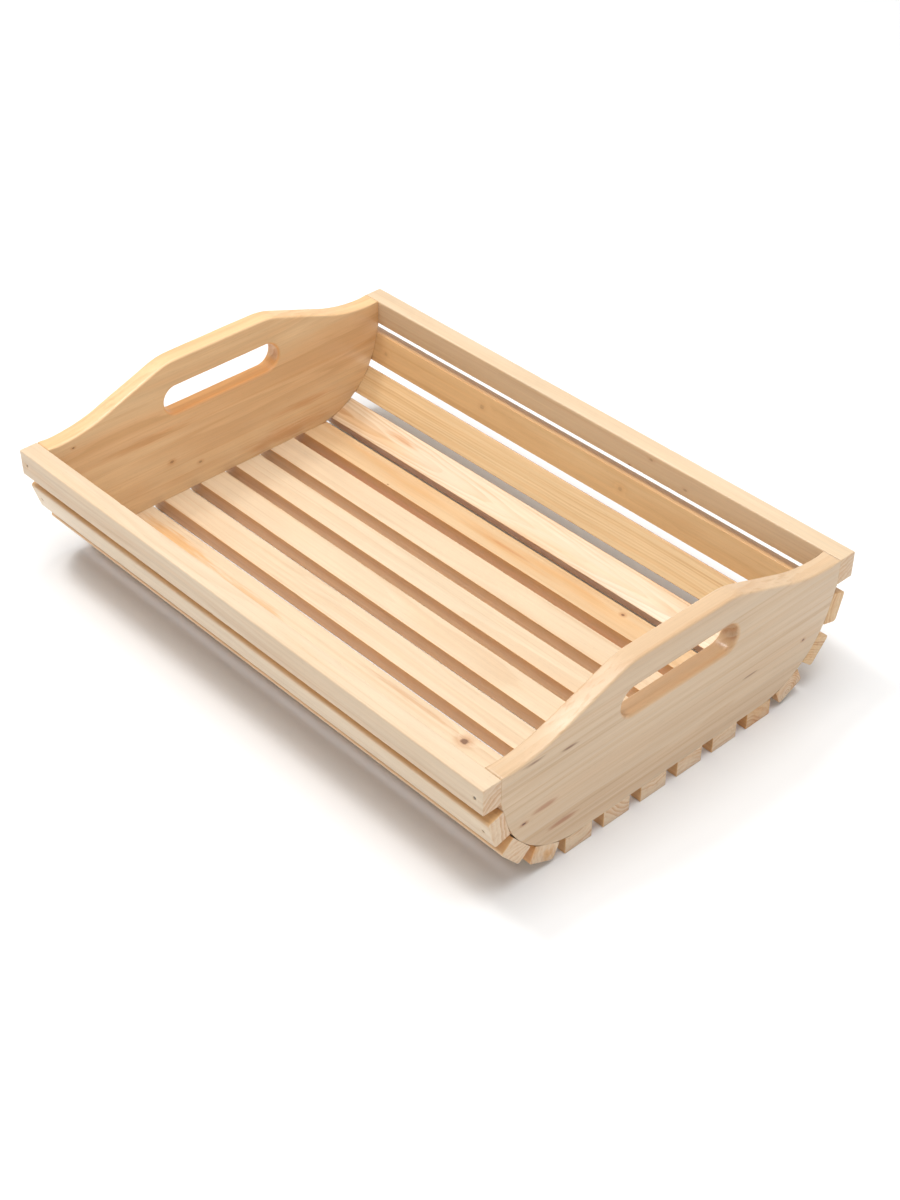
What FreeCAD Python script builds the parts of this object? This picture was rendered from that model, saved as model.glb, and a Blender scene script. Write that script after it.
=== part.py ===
"""Slatted wooden crate: two arched end boards with hand slots, two top rails, twelve slats and their brads.

Frame: X runs along the slats, Y across the crate, Z up.  The origin is on the ground, under the middle.
All sizes are in millimetres.
"""
import FreeCAD, Part
import math
import os

# ---- driving dimensions -------------------------------------------------------------------------
LENGTH = 400.0              # over the ends of the rails and slats, flush with the end boards
BOARD_THICKNESS = 12.0      # stock of the end boards
SLAT_WIDTH = 19.6
SLAT_THICKNESS = 11.0
SLAT_PITCH = 28.8           # slat to slat, measured along the outside of the crate
SLATS_PER_SIDE = 6
RAIL_WIDTH = 12.5
RAIL_HEIGHT = 17.0
RAIL_TOP = 84.0             # ground to the top of the rails and to the shoulders of the boards

BASE_FLAT_HALF = 72.0       # half of the flat stretch of the board's lower edge
CORNER_RADIUS = 55.5        # radius of the board's lower corners, which the slats are bent round

ARCH_RISE = 23.0            # handle arch above the shoulders
ARCH_TOP_HALF = 40.0        # middle to the corner where the arch starts to fall
ARCH_FOOT_HALF = 105.0      # middle to the corner where the slope meets the shoulder
ARCH_TOP_RADIUS = 45.0      # rounds the upper corner
ARCH_FOOT_RADIUS = 110.0    # rounds the lower corner, the hollow of the ogee

SLOT_LENGTH = 90.0          # hand slot, end to end
SLOT_HEIGHT = 19.0
SLOT_CENTRE_Z = 79.0
SLOT_EDGE_ROUND = 1.5
ARCH_EDGE_ROUND = 1.2

SLAT_OUTER_ROUND = 2.2      # sanded outer arrises of a slat
SLAT_INNER_ROUND = 0.6
RAIL_EDGE_ROUND = 1.0

BRAD_THICKNESS = 1.0        # a brad is cut from flat wire, so its shank and head are rectangular
BRAD_WIDTH = 1.3
BRAD_HEAD_WIDTH = 2.2
BRAD_HEAD_HEIGHT = 0.9
BRAD_HEAD_SUNK = 0.5        # the head lies this far below the wood
BRAD_GRIP = 14.0            # length of shank in the end board
BRAD_CLEARANCE = 0.05       # between a brad and the sides of its hole

# ---- sizes that follow ----------------------------------------------------------------------------
HALF_LENGTH = LENGTH / 2
BOARD_BASE = SLAT_THICKNESS                         # the boards stand on the slats
CORNER_CENTRE_Z = BOARD_BASE + CORNER_RADIUS
RAIL_BOTTOM = RAIL_TOP - RAIL_HEIGHT
BRAD_X = HALF_LENGTH - BOARD_THICKNESS / 2          # brads go into the middle of the board's thickness


def slat_angle(outside_length):
    """Lean of a slat whose middle is this far from the crate's middle, along the outside."""
    round_length = max(outside_length - BASE_FLAT_HALF, 0.0)
    return round_length / (CORNER_RADIUS + SLAT_THICKNESS)


def slat_seat(outside_length):
    """Where the middle of a slat's inner face touches the board: y, z and the lean in radians."""
    lean = slat_angle(outside_length)
    if lean == 0.0:
        return outside_length, BOARD_BASE, lean
    y = BASE_FLAT_HALF + CORNER_RADIUS * math.sin(lean)
    z = CORNER_CENTRE_Z - CORNER_RADIUS * math.cos(lean)
    return y, z, lean


SLAT_LENGTHS_OUT = [SLAT_PITCH * (number + 0.5) for number in range(SLATS_PER_SIDE)]
TOP_SLAT_Y, TOP_SLAT_Z, TOP_SLAT_LEAN = slat_seat(SLAT_LENGTHS_OUT[-1])
# Above the top slat's middle the board's edge runs straight on, up to the underside of the rail.
BOARD_HALF_WIDTH = TOP_SLAT_Y + (RAIL_BOTTOM - TOP_SLAT_Z) / math.tan(TOP_SLAT_LEAN)


# ---- outline helpers --------------------------------------------------------------------------------
def vector_yz(y, z):
    return FreeCAD.Vector(0, y, z)


def line(start, end):
    return Part.LineSegment(start, end).toShape()


def arc(start, middle, end):
    return Part.Arc(start, middle, end).toShape()


def rounded_corner(before, corner, after, radius):
    """Start, middle and end of the arc that rounds a corner between two straight lines."""
    towards_before = (before - corner).normalize()
    towards_after = (after - corner).normalize()
    half_angle = towards_before.getAngle(towards_after) / 2
    bisector = (towards_before + towards_after).normalize()
    centre = corner + bisector * (radius / math.sin(half_angle))
    start = corner + towards_before * (radius / math.tan(half_angle))
    end = corner + towards_after * (radius / math.tan(half_angle))
    return start, centre - bisector * radius, end


def mirrored(edge):
    """The same edge on the other side of the crate's middle plane."""
    return edge.mirror(FreeCAD.Vector(0, 0, 0), FreeCAD.Vector(0, 1, 0))


# ---- end board ------------------------------------------------------------------------------------
def half_board_outline():
    """Edges of the board's outline on the +Y side, from the middle of the base to the middle of the arch."""
    arch_top = RAIL_TOP + ARCH_RISE
    base_end = vector_yz(BASE_FLAT_HALF, BOARD_BASE)
    corner_middle_lean = TOP_SLAT_LEAN / 2
    corner_middle = vector_yz(BASE_FLAT_HALF + CORNER_RADIUS * math.sin(corner_middle_lean),
                              CORNER_CENTRE_Z - CORNER_RADIUS * math.cos(corner_middle_lean))
    corner_end = vector_yz(TOP_SLAT_Y, TOP_SLAT_Z)
    rail_foot = vector_yz(BOARD_HALF_WIDTH, RAIL_BOTTOM)
    shoulder = vector_yz(BOARD_HALF_WIDTH, RAIL_TOP)
    arch_foot = vector_yz(ARCH_FOOT_HALF, RAIL_TOP)
    arch_corner = vector_yz(ARCH_TOP_HALF, arch_top)
    crown = vector_yz(0, arch_top)

    hollow = rounded_corner(shoulder, arch_foot, arch_corner, ARCH_FOOT_RADIUS)
    swell = rounded_corner(arch_foot, arch_corner, crown, ARCH_TOP_RADIUS)
    return [
        line(vector_yz(0, BOARD_BASE), base_end),
        arc(base_end, corner_middle, corner_end),
        line(corner_end, rail_foot),
        line(rail_foot, shoulder),
        line(shoulder, hollow[0]),
        arc(*hollow),
        line(hollow[2], swell[0]),
        arc(*swell),
        line(swell[2], crown),
    ]


def hand_slot():
    """Solid of the slot: straight sides and half-round ends, long enough to pass through the board."""
    end_radius = SLOT_HEIGHT / 2
    straight_half = SLOT_LENGTH / 2 - end_radius
    low = SLOT_CENTRE_Z - end_radius
    high = SLOT_CENTRE_Z + end_radius
    edges = [
        line(vector_yz(-straight_half, low), vector_yz(straight_half, low)),
        arc(vector_yz(straight_half, low), vector_yz(SLOT_LENGTH / 2, SLOT_CENTRE_Z),
            vector_yz(straight_half, high)),
        line(vector_yz(straight_half, high), vector_yz(-straight_half, high)),
        arc(vector_yz(-straight_half, high), vector_yz(-SLOT_LENGTH / 2, SLOT_CENTRE_Z),
            vector_yz(-straight_half, low)),
    ]
    face = Part.Face(Part.Wire(edges))
    return face.extrude(FreeCAD.Vector(BOARD_THICKNESS, 0, 0))


def is_face_edge(edge):
    """True for an edge that lies in one of the board's two broad faces."""
    box = edge.BoundBox
    return box.XLength < 0.001


def is_slot_edge(edge):
    """True for an edge round the mouth of the hand slot."""
    box = edge.BoundBox
    inside_length = max(abs(box.YMin), abs(box.YMax)) < SLOT_LENGTH / 2 + 0.1
    inside_height = abs(box.Center.z - SLOT_CENTRE_Z) < SLOT_HEIGHT / 2 + 0.1
    return is_face_edge(edge) and inside_length and inside_height


def is_arch_edge(edge):
    """True for an edge along the top of the board, shoulders included."""
    return is_face_edge(edge) and edge.BoundBox.ZMin > RAIL_TOP - 0.01 and not is_slot_edge(edge)


def end_board():
    """End board with its back face at x = 0 and its outer face at x = BOARD_THICKNESS."""
    half = half_board_outline()
    edges = half + [mirrored(edge) for edge in half]
    outline = Part.Wire(Part.__sortEdges__(edges))
    blank = Part.Face(outline).extrude(FreeCAD.Vector(BOARD_THICKNESS, 0, 0))
    board = blank.removeSplitter().cut(hand_slot())
    board = board.makeFillet(SLOT_EDGE_ROUND, [edge for edge in board.Edges if is_slot_edge(edge)])
    return board.makeFillet(ARCH_EDGE_ROUND, [edge for edge in board.Edges if is_arch_edge(edge)])


# ---- rails and slats --------------------------------------------------------------------------------
def long_edges(bar, inner_side):
    """The bar's lengthwise edges on its inner side, z = 0, or on its outer side."""
    edges = [edge for edge in bar.Edges if edge.BoundBox.XLength > LENGTH - 1]
    return [edge for edge in edges if (edge.BoundBox.ZMin > -0.01) == inner_side]


def slat_blank():
    """A slat lying under z = 0 with its inner face up, centred on y = 0."""
    corner = FreeCAD.Vector(-HALF_LENGTH, -SLAT_WIDTH / 2, -SLAT_THICKNESS)
    bar = Part.makeBox(LENGTH, SLAT_WIDTH, SLAT_THICKNESS, corner)
    bar = bar.makeFillet(SLAT_OUTER_ROUND, long_edges(bar, inner_side=False))
    return bar.makeFillet(SLAT_INNER_ROUND, long_edges(bar, inner_side=True))


def top_rail():
    """The rail on the +Y side, seated against the side edges of both boards."""
    corner = FreeCAD.Vector(-HALF_LENGTH, BOARD_HALF_WIDTH, RAIL_BOTTOM)
    bar = Part.makeBox(LENGTH, RAIL_WIDTH, RAIL_HEIGHT, corner)
    lengthwise = [edge for edge in bar.Edges if edge.BoundBox.XLength > LENGTH - 1]
    return bar.makeFillet(RAIL_EDGE_ROUND, lengthwise)


# ---- brads --------------------------------------------------------------------------------------------
def upright_box(x_size, y_size, low, high):
    """A box centred on x = 0 and y = 0, from z = low to z = high."""
    return Part.makeBox(x_size, y_size, high - low, FreeCAD.Vector(-x_size / 2, -y_size / 2, low))


def brad(stock_thickness):
    """A brad driven up through stock that lies under z = 0: grip above z = 0, head near the outer face."""
    head_outer = BRAD_HEAD_SUNK - stock_thickness
    head_inner = head_outer + BRAD_HEAD_HEIGHT
    shank = upright_box(BRAD_THICKNESS, BRAD_WIDTH, head_inner, BRAD_GRIP)
    head = upright_box(BRAD_THICKNESS, BRAD_HEAD_WIDTH, head_outer, head_inner)
    return shank.fuse(head)


def brad_hole(stock_thickness):
    """What a brad cuts out of the wood: a little wider than the brad, and open to the outside."""
    gap = 2 * BRAD_CLEARANCE
    outside = -stock_thickness - 1
    head_inner = BRAD_HEAD_SUNK - stock_thickness + BRAD_HEAD_HEIGHT
    shank = upright_box(BRAD_THICKNESS + gap, BRAD_WIDTH + gap, head_inner, BRAD_GRIP + gap)
    head = upright_box(BRAD_THICKNESS + gap, BRAD_HEAD_WIDTH + gap, outside, head_inner)
    return shank.fuse(head)


def at_seat(shape, side, y, z, lean, x=0.0):
    """Turn a shape made under z = 0 by the seat's lean, and put it on the seat on side +1 or -1."""
    placed = shape.copy()
    turn = FreeCAD.Rotation(FreeCAD.Vector(1, 0, 0), math.degrees(side * lean))
    placed.Placement = FreeCAD.Placement(FreeCAD.Vector(x, side * y, z), turn)
    return placed


def at_both_ends(shape, seats):
    """A copy of a brad or its hole at each end of every seat."""
    return [at_seat(shape, *seat, x=x) for seat in seats for x in (-BRAD_X, BRAD_X)]


# ---- assembly -----------------------------------------------------------------------------------------
SLAT_NAMES = ["floor_slat_{}_inner", "floor_slat_{}_middle", "floor_slat_{}_outer",
              "corner_slat_{}", "side_slat_{}_lower", "side_slat_{}_upper"]
SIDES = {"front": -1, "back": 1}


def build():
    """All the parts of the crate, by name."""
    slat_seats = {SLAT_NAMES[number].format(word): (side, *slat_seat(length_out))
                  for word, side in SIDES.items()
                  for number, length_out in enumerate(SLAT_LENGTHS_OUT)}
    rail_seat = (BOARD_HALF_WIDTH, (RAIL_BOTTOM + RAIL_TOP) / 2, math.pi / 2)
    rail_seats = {"top_rail_" + word: (side, *rail_seat) for word, side in SIDES.items()}

    slat_hole = brad_hole(SLAT_THICKNESS)
    rail_hole = brad_hole(RAIL_WIDTH)
    holes = at_both_ends(slat_hole, slat_seats.values()) + at_both_ends(rail_hole, rail_seats.values())

    parts = {}
    board = end_board().translate(FreeCAD.Vector(HALF_LENGTH - BOARD_THICKNESS, 0, 0))
    opposite = board.copy()
    opposite.rotate(FreeCAD.Vector(0, 0, 0), FreeCAD.Vector(0, 0, 1), 180)
    parts["end_board_right"] = board.cut(holes)
    parts["end_board_left"] = opposite.cut(holes)

    blank = slat_blank()
    for name, seat in slat_seats.items():
        parts[name] = at_seat(blank, *seat).cut(at_both_ends(slat_hole, [seat]))

    rail = top_rail()
    for name, seat in rail_seats.items():
        bar = rail if seat[0] > 0 else mirrored(rail)
        parts[name] = bar.cut(at_both_ends(rail_hole, [seat]))

    parts["slat_brads"] = Part.makeCompound(at_both_ends(brad(SLAT_THICKNESS), slat_seats.values()))
    parts["rail_brads"] = Part.makeCompound(at_both_ends(brad(RAIL_WIDTH), rail_seats.values()))
    return parts


os.makedirs("parts", exist_ok=True)
for part_name, part_shape in build().items():
    part_shape.exportStep("parts/" + part_name + ".step")
    print(part_name, "solids", len(part_shape.Solids), "valid", part_shape.isValid(),
          "volume", round(part_shape.Volume), "mm3")
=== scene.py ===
# %% [markdown]
# # A slatted pine crate with two arched end boards
#
# The crate is made of sixteen sticks and boards of solid pine: twelve slats laid round the
# bottom of two end boards, and two rails along the top.  Small nails hold it together.
#
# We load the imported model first.  It is the frame that everything else is fitted to, so sizes
# and places are read from it and never guessed.

# %% Load the frame
import bpy
import bmesh
import math
import random
from collections import namedtuple
from mathutils import Matrix, Vector, noise


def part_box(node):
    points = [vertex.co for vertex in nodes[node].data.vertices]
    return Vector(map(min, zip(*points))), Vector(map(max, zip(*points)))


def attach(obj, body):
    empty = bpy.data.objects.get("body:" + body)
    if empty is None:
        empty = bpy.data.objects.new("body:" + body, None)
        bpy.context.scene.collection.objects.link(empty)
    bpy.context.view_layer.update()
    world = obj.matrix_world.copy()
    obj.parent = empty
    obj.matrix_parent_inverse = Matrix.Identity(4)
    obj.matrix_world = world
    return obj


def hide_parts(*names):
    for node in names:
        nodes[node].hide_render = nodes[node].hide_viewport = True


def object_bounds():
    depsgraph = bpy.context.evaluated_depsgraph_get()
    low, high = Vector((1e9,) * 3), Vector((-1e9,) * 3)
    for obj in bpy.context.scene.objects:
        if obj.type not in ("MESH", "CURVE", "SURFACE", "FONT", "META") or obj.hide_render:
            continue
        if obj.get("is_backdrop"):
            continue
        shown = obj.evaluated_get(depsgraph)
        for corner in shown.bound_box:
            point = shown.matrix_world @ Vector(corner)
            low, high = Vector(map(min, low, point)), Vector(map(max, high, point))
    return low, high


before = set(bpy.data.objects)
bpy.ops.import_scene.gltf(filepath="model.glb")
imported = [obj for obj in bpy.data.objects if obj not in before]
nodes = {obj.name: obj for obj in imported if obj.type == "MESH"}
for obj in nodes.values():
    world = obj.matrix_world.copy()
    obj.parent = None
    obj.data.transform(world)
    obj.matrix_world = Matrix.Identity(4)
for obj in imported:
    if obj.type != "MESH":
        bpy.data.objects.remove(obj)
cad_low, cad_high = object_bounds()
size = cad_high - cad_low
MM = 0.001
print("crate", [round(v / MM, 1) for v in size], "mm, in", len(nodes), "nodes")

# %% [markdown]
# ## Where the camera stands
#
# A camera is easiest to place by the direction it looks back along: an angle round the crate, an
# angle above the floor, and a very small roll.  It stands about 1.2 m away with a short
# telephoto lens, which keeps the far end board from looking much smaller than the near one.

# %% The direction the camera looks back along
AROUND = math.radians(47.307)
ABOVE = math.radians(40.961)
ROLL = math.radians(-0.056)

back = Vector((math.sin(AROUND) * math.cos(ABOVE), -math.cos(AROUND) * math.cos(ABOVE), math.sin(ABOVE)))
level = Vector((0, 0, 1)).cross(back).normalized()
upright = back.cross(level)
right = math.cos(ROLL) * level + math.sin(ROLL) * upright
up = back.cross(right)
print("camera looks back along", [round(v, 3) for v in back])

# %% [markdown]
# A camera in Blender looks along its own -Z axis, so those three directions are exactly the
# columns of its rotation.  The lens is shifted a little instead of tilting the camera, which
# places the crate in the picture and leaves its perspective as it is.

# %% Camera
camera_data = bpy.data.cameras.new("studio_camera")
camera_data.lens = 58.84
camera_data.sensor_width = 36.0
camera_data.shift_y = 1 / 12
camera_data.clip_start = 0.05
camera_data.clip_end = 50.0
camera = bpy.data.objects.new("studio_camera", camera_data)
bpy.context.scene.collection.objects.link(camera)
camera.matrix_world = Matrix((right, up, back)).transposed().to_4x4()
camera.location = (0.6909, -0.6167, 0.7349)
bpy.context.scene.camera = camera
print("camera", round(camera.location.length, 2), "m from the crate")

# %% [markdown]
# ## Writing materials as sums
#
# Blender's materials are graphs of nodes.  Wood is mostly arithmetic on distances, so we wrap a
# socket in a small class that knows +, -, * and /.  Each sum then adds its own Math node, and a
# recipe reads like the sentence it stands for.  Colours and directions have three parts, which a
# Math node would flatten to one, so the sheet below has its own calls for those.

# %% A socket that can be added up
class Value:
    """One output socket of a sheet of nodes, which ordinary sums can use."""

    def __init__(self, sheet, socket):
        self.sheet = sheet
        self.socket = socket

    def math(self, operation, *others):
        """A Math node with this value first."""
        return self.sheet.node("Math", {"operation": operation}, dict(enumerate((self, *others))))

    def math_after(self, operation, first):
        """A Math node with this value second."""
        return self.sheet.node("Math", {"operation": operation}, {0: first, 1: self})

    def __add__(self, other):
        return self.math("ADD", other)

    def __sub__(self, other):
        return self.math("SUBTRACT", other)

    def __rsub__(self, other):
        return self.math_after("SUBTRACT", other)

    def __mul__(self, other):
        return self.math("MULTIPLY", other)

    def __truediv__(self, other):
        return self.math("DIVIDE", other)

    def __pow__(self, other):
        return self.math("POWER", other)

    def __neg__(self):
        return self.math_after("SUBTRACT", 0)

    def __abs__(self):
        return self.math("ABSOLUTE")

    __radd__ = __add__
    __rmul__ = __mul__

    def rise(self, low, high):
        """0 below low, 1 above high, and a smooth climb between."""
        settings = {"interpolation_type": "SMOOTHSTEP"}
        return self.sheet.node("MapRange", settings, {"Value": self, "From Min": low, "From Max": high})

    def fall(self, low, high):
        """1 below low, 0 above high, and a smooth drop between."""
        return 1 - self.rise(low, high)


# %% [markdown]
# A sheet stands for one material.  All its nodes are made by a single method, which sets a
# node's options first, because some options change which sockets the node has.  The other
# methods give names to what we do to wood: stretch it, cloud it, blend it, tint it.

# %% A sheet of nodes
class Sheet:
    """The nodes of one material, or of the world round the scene."""

    def __init__(self, owner, surface="Principled BSDF"):
        owner.use_nodes = True
        self.owner = owner
        self.tree = owner.node_tree
        self.surface = self.tree.nodes[surface]

    def plug(self, target, value):
        """Link a value to a socket, or set the socket to a number or colour."""
        if isinstance(value, Value):
            self.tree.links.new(value.socket, target)
        elif hasattr(value, "__len__") and len(target.default_value) > len(value):
            target.default_value = (*value, 1)
        else:
            target.default_value = value

    def node(self, kind, settings=None, sockets=None, output=0):
        """Add a node: its settings first, then the values or links of its sockets."""
        made = self.tree.nodes.new("ShaderNode" + kind)
        for key, value in (settings or {}).items():
            setattr(made, key, value)
        for key, value in (sockets or {}).items():
            self.plug(made.inputs[key], value)
        return Value(self, made.outputs[output])

    def finish(self, **sockets):
        """Set the surface's own sockets, named with underscores for spaces."""
        for key, value in sockets.items():
            self.plug(self.surface.inputs[key.replace("_", " ")], value)
        return self.owner

    def parts(self, vector):
        """The three numbers of a vector."""
        first = self.node("SeparateXYZ", None, {0: vector})
        return [Value(self, first.socket.node.outputs[i]) for i in range(3)]

    def stretch(self, vector, factors):
        return self.node("VectorMath", {"operation": "MULTIPLY"}, {0: vector, 1: factors})

    def move(self, vector, step):
        return self.node("VectorMath", {"operation": "ADD"}, {0: vector, 1: step})

    def cloudy(self, vector, detail=2.0):
        """Cloudy noise about 0.5, one cloud per unit of the vector."""
        return self.node("TexNoise", None, {"Vector": vector, "Scale": 1.0, "Detail": detail})

    def blend(self, factor, first, second):
        """Colour between first and second."""
        return self.node("Mix", {"data_type": "RGBA"}, {0: factor, 6: first, 7: second}, output=2)

    def shade(self, colour, factor):
        """The colour made lighter or darker by a factor."""
        return self.node("VectorMath", {"operation": "SCALE"}, {0: colour, "Scale": factor})

    def tint(self, factor, colour, filter_colour):
        """The colour seen through a filter, as far as factor says."""
        settings = {"data_type": "RGBA", "blend_type": "MULTIPLY"}
        return self.node("Mix", settings, {0: factor, 6: colour, 7: filter_colour}, output=2)


def hue(text):
    """A colour written as on a paint chart, turned into the linear numbers that Blender mixes."""
    shares = [int(text[i:i + 2], 16) / 255 for i in (0, 2, 4)]
    return tuple(s / 12.92 if s <= 0.04045 else ((s + 0.055) / 1.055) ** 2.4 for s in shares)


# %% [markdown]
# ## Light and floor
#
# A studio table is lit from above.  A wide soft box gives much of the light, and it leaves the
# upright faces a good deal darker than the level ones, which is what makes the slats read as
# solid.  A smaller lamp beyond the far end draws the edge of the shadow, and a faint one beside
# it is there for its glint on the handle arches.  A lamp is an object whose own -Z axis is its
# beam, so turning the lamp's Z axis away from the target aims it.

# %% Lamps
def area_lamp(name, place, target, width, watts):
    """A square lamp at a place, turned towards a target."""
    data = bpy.data.lights.new(name, "AREA")
    data.shape = "SQUARE"
    data.size = width
    data.energy = watts
    lamp = bpy.data.objects.new(name, data)
    bpy.context.scene.collection.objects.link(lamp)
    lamp.location = place
    lamp.rotation_euler = (Vector(place) - Vector(target)).to_track_quat("Z", "Y").to_euler()


area_lamp("soft_box", (0.24, -0.02, 2.2), (0, 0, 0), 1.6, 37)
area_lamp("key_lamp", (-0.78, -0.31, 2.0), (0, 0, 0.05), 0.36, 14)
area_lamp("glint_lamp", (-1.15, -0.12, 1.75), (0.19, 0, 0.08), 0.5, 4)
bpy.context.scene.view_settings.view_transform = "Standard"     # white stays white

# %% [markdown]
# The surround is the colour of everything beyond the floor.  It fills the shadows evenly, so it
# sets how dark they are.  Here it is dim overhead and pale at the horizon, like a white room
# with its ceiling lights off.  The height of a direction is the third part of its Generated
# coordinate.

# %% Surround
sheet = Sheet(bpy.data.worlds.new("pale_surround"), surface="Background")
height = sheet.parts(sheet.node("TexCoord", output="Generated"))[2]
surround = sheet.finish(Color=(1, 1, 1), Strength=0.48 + 0.30 * height.fall(0.02, 0.22))
bpy.context.scene.world = surround
print("surround nodes", len(surround.node_tree.nodes))

# %% [markdown]
# The floor is one large sheet, off-white and a little uneven in gloss.  It lies a tenth of a
# millimetre low, so that it never fights with the undersides of the slats for the same place.

# %% Floor
floor_mesh = bmesh.new()
bmesh.ops.create_grid(floor_mesh, x_segments=8, y_segments=8, size=6)
floor_data = bpy.data.meshes.new("studio_floor")
floor_mesh.to_mesh(floor_data)
floor_mesh.free()
floor = bpy.data.objects.new("studio_floor", floor_data)
floor.location.z = -0.1 * MM
bpy.context.scene.collection.objects.link(floor)
floor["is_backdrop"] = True
print("floor", [round(v, 1) for v in floor.dimensions], "m")

# %% [markdown]
# Painted board is not quite one white, so slow noise moves its colour and gloss a little.  Far
# from the crate the floor glows faintly, as a lit paper backdrop does, which keeps low views
# pale.  The crate stands too close to the middle to feel that glow.

# %% Floor finish
sheet = Sheet(bpy.data.materials.new("pale_floor"))
spot = sheet.node("TexCoord", output="Object")
mottle = sheet.cloudy(sheet.stretch(spot, (9, 9, 9)), detail=3)
reach = sheet.node("VectorMath", {"operation": "LENGTH"}, {0: spot}, output="Value")
paper = sheet.blend(mottle, (0.84, 0.84, 0.84), (0.87, 0.87, 0.87))
glow = sheet.blend(reach.rise(0.8, 2.8), (0, 0, 0), (0.42, 0.42, 0.42))
floor.data.materials.append(sheet.finish(Base_Color=paper, Roughness=0.6 + 0.1 * mottle,
                                         Specular_IOR_Level=0.2, Emission_Color=glow, Emission_Strength=1.0))

# %% [markdown]
# ## Pine, from the tree inwards
#
# Every stick is cut from a log, and what we see on its faces is the log's growth rings cut open.
# So the material works in the stick's own space, with x along the grain, and asks one thing of
# each point: how far is it from the heart of the log?  That one number gives stripes on one face,
# arches on another and arcs on the end, all meeting at the edges, as in real wood.
#
# First we need words for how a stick was cut.  No two sticks of the crate are alike, so each one
# gets a record of its own: where the heart of the log lies, how wide the rings are, how pale the
# wood is, and which knots and marks it carries.

# %% Words for how a stick was cut
Knot = namedtuple("Knot", "along across width length darkness")
Mark = namedtuple("Mark", "along across width length strength colour")


class Pine:
    """How one stick was cut.  Lengths are in millimetres, from the stick's own middle.

    heart: where the log's heart lies, across the stick and through it.  gap: from ring to ring.
    pale, late: the colours of spring and summer wood.  strength, bands, amber, streaky: how
    strongly the rings, the broad red bands, the amber and the long streaks show.  wander, lean:
    how the log sways and how the cut leans across it.  flanks: how strongly the sides are
    tinted with painted warm shade, the orange of light bounced between the sticks.
    """

    def __init__(self, heart, seed, gap, pale="DCC6A8", late="BC9060", strength=0.35, bands=0.2,
                 amber=0.0, streaky=0.25, wander=6.0, lean=0.0, flanks=0.8, knots=(), marks=()):
        self.heart, self.seed, self.gap, self.pale, self.late = heart, seed, gap, pale, late
        self.strength, self.bands, self.amber, self.streaky = strength, bands, amber, streaky
        self.wander, self.lean, self.flanks, self.knots, self.marks = wander, lean, flanks, knots, marks


# %% [markdown]
# Wood has a direction, so nearly all its noise is drawn out along the grain.  The sheet below
# knows the place on the stick in millimetres, and gives noise in clouds of any length and width.
# The seed moves the stick to a far corner of the noise, which is like taking it from another log.

# %% A sheet with a grain
class Grain(Sheet):
    """The sheet of one stick's material, with x along the grain and lengths in millimetres."""

    def __init__(self, name, seed):
        super().__init__(bpy.data.materials.new(name))
        place = self.stretch(self.node("TexCoord", output="Object"), (1000, 1000, 1000))
        self.x, self.y, self.z = self.parts(place)
        self.log = self.move(place, (seed * 977.0, seed * 131.0, seed * 57.0))

    def drawn_out(self, along, across, detail=2.0):
        """Noise with clouds so many millimetres long and wide."""
        return self.cloudy(self.stretch(self.log, (1 / along, 1 / across, 1 / across)), detail)

    def from_spot(self, spot):
        """Distance from the middle of a knot or a mark, counted in its own sizes."""
        along = (self.x - spot.along) / spot.length
        across = (self.y - spot.across) / spot.width
        return (along ** 2 + across ** 2).math("SQRT")


# %% [markdown]
# A knot is a branch, and the trunk's rings swell round it.  So a knot does two things.  It adds a
# smooth hill to the distance from the heart, before any ring is drawn, and it leaves a dark
# core with a warm halo.  Noise on the distance makes both ragged.

# %% Knots
def knots_of(grain, cut):
    """How far the knots push the rings outwards, and their cores and halos from 0 to 1."""
    push, core, halo = 0.0, 0.0, 0.0
    for knot in cut.knots:
        far = grain.from_spot(knot)
        push = (-(far * far) * 0.16).math("EXPONENT") * (knot.width * 1.6) + push
        ragged = far + (grain.drawn_out(1.6, 1.6) - 0.5) * 0.8
        core = (ragged.fall(0.6, 1.15) * knot.darkness).math("MAXIMUM", core)
        halo = (ragged.fall(0.9, 3.0) * (0.5 * knot.darkness)).math("MAXIMUM", halo)
    return push, core, halo


# %% [markdown]
# The heart of a log is never straight.  Two slow noises sway it up and down and from side to
# side, a quicker one ripples the rings, and the lean of the cut closes stripes into arches.
# Counted in ring gaps, the distance has a whole part, the ring's number, and a share, from 0
# where the ring's pale spring wood starts to 1 where its dark summer wood stops short.  The
# number also seeds the ring's own strength, because a dry summer leaves a faint ring, and slow
# patches let every ring fade in and out along the stick.

# %% Growth rings
def growth_rings(grain, cut, push):
    """The ring count at each point, and how dark the summer wood is there."""
    sway = grain.drawn_out(170, 60, 1.0) - 0.5
    swing = grain.drawn_out(260, 90, 1.0) - 0.5
    ripple = grain.drawn_out(40, 8) - 0.5
    across = grain.y - cut.heart[0] + swing * cut.wander
    through = grain.z - cut.heart[1] + sway * cut.wander
    from_heart = (across ** 2 + through ** 2).math("SQRT") + grain.x * cut.lean
    from_heart = from_heart + sway * (cut.wander * 1.6) + ripple * 1.8 + push
    ring = from_heart / cut.gap + (grain.drawn_out(700, 9, 1.0) - 0.5) * 1.4
    whole = ring.math("FLOOR")
    share = ring - whole
    own = grain.node("TexWhiteNoise", {"noise_dimensions": "1D"}, {"W": whole + cut.seed * 7.3})
    patch = grain.drawn_out(130, 12).rise(0.32, 0.62)
    late = share.rise(0.1, 0.86) * share.fall(0.9, 1.0) * (0.12 + 0.88 * own) * (0.35 + 0.65 * patch)
    return ring, late


# %% [markdown]
# Colour is built up as a finisher would describe it.  Bare wood comes first, between pale and
# late.  Filters then lie over it: broad reddish bands, long streaks, amber sap, and the marks of
# this one stick.  A filter multiplies, so it can only deepen a colour, which is what lacquer and
# sap do to wood.

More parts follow.
